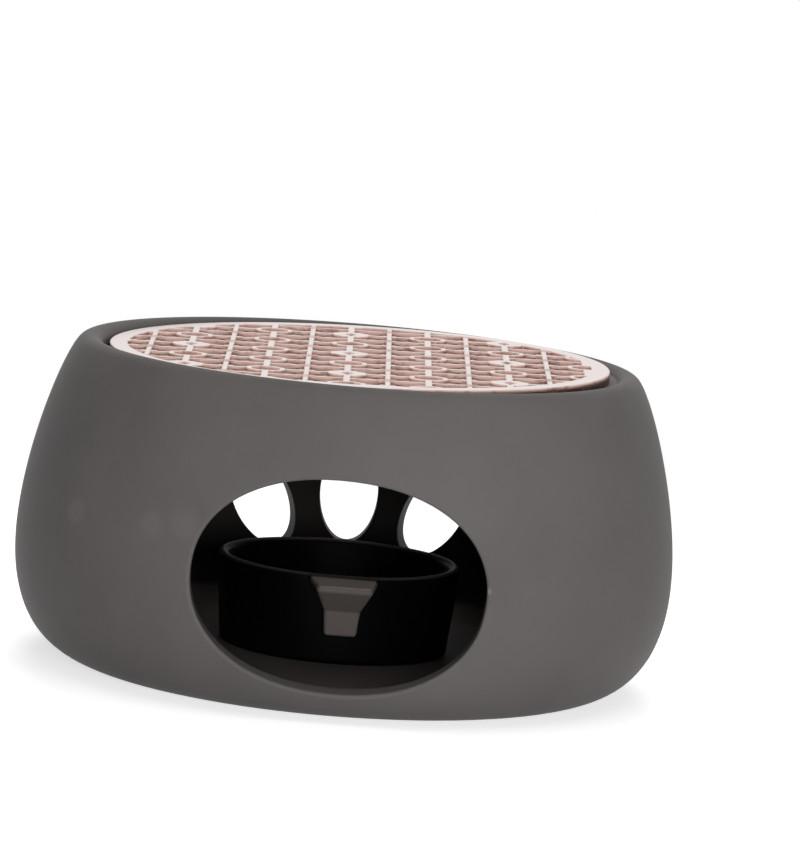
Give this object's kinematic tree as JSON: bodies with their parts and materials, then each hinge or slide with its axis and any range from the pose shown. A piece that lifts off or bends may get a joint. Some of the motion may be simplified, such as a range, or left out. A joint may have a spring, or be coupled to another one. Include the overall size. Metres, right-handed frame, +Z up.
{
  "type": "teapot warmer",
  "caption": "Barrel-shaped ceramic stove with an oval window, rear vents, a loose candle cup with a finger lug, and a round pierced metal plate that a teapot stands on.",
  "frame": {"origin": "on the standing surface, at the middle of the foot, on the body's axis", "axes": "+Z up along the body's axis, -Y out of the oval window, +X to the right as the window is faced"},
  "size_m": [0.12, 0.1163, 0.0591],
  "materials": {
    "stoneware": "matt, fine grained",
    "plated_plate": "rose gold plating, satin",
    "cup_glaze": "black satin glaze"
  },
  "bodies": {
    "root": {"warmer_body": "stoneware", "top_plate": "plated_plate", "candle_cup": "cup_glaze"}
  },
  "joints": []
}
